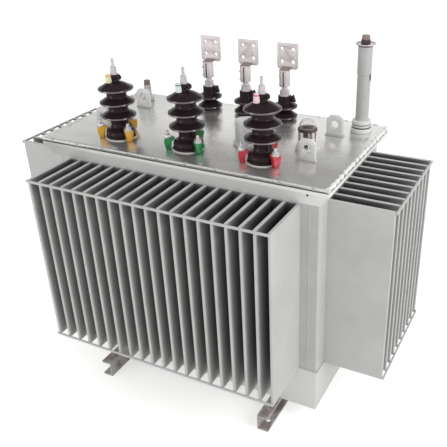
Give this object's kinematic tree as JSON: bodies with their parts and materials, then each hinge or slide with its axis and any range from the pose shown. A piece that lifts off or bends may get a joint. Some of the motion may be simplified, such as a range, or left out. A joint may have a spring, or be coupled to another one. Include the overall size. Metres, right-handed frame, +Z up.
{
  "type": "oil-filled distribution transformer",
  "caption": "Oil-filled power transformer: corrugated fin tank on channel skids, flat cover with porcelain bushings, palm terminals, lifting lugs and an oil filler pipe.",
  "frame": {"origin": "on the floor under the middle of the tank", "axes": "+X along the tank, +Y to the low-voltage side at the rear, +Z up"},
  "size_m": [1.41, 0.94, 1.225],
  "materials": {
    "tank_paint": "semi-gloss light grey enamel",
    "cover_paint": "gloss light grey enamel",
    "skid_paint": "dull grey-brown paint",
    "gasket_rubber": "matt black rubber",
    "porcelain_brown": "dark brown glazed porcelain",
    "plated_steel": "zinc-plated steel",
    "tinned_copper": "tin-plated copper alloy",
    "chrome_plate": "bright chrome plate",
    "clamp_yellow": "gloss yellow enamel on a casting",
    "clamp_green": "gloss green enamel on a casting",
    "clamp_red": "gloss red enamel on a casting",
    "dark_plastic": "dark grey moulded plastic",
    "brown_plastic": "brown moulded plastic"
  },
  "bodies": {
    "root": {"tank_base": "tank_paint", "front_wall": "tank_paint", "rear_wall": "tank_paint", "left_wall": "tank_paint", "right_wall": "tank_paint", "corner_posts": "tank_paint", "top_frame": "tank_paint", "tank_flange": "tank_paint", "front_fins": "tank_paint", "rear_fins": "tank_paint", "left_fins": "tank_paint", "right_fins": "tank_paint", "fin_tie_bars": "tank_paint", "skid_left": "skid_paint", "skid_right": "skid_paint", "cover_gasket": "gasket_rubber", "cover_plate": "cover_paint", "hv_bushing_a": "porcelain_brown", "hv_stud_a": "plated_steel", "hv_clamps_a": "clamp_yellow", "lv_bushing_a": "porcelain_brown", "lv_stud_a": "plated_steel", "lv_palm_a": "tinned_copper", "hv_bushing_b": "porcelain_brown", "hv_stud_b": "plated_steel", "hv_clamps_b": "clamp_green", "lv_bushing_b": "porcelain_brown", "lv_stud_b": "plated_steel", "lv_palm_b": "tinned_copper", "hv_bushing_c": "porcelain_brown", "hv_stud_c": "plated_steel", "hv_clamps_c": "clamp_red", "lv_bushing_c": "porcelain_brown", "lv_stud_c": "plated_steel", "lv_palm_c": "tinned_copper", "lifting_lugs": "cover_paint", "relief_valve_body": "chrome_plate", "relief_valve_ring": "gasket_rubber", "relief_valve_cap": "chrome_plate", "tap_changer_housing": "cover_paint", "thermometer_pocket": "cover_paint", "thermometer_cap": "dark_plastic", "oil_filler_pipe": "cover_paint", "level_gauge_head": "cover_paint", "oil_filler_cap": "brown_plastic"}
  },
  "joints": []
}
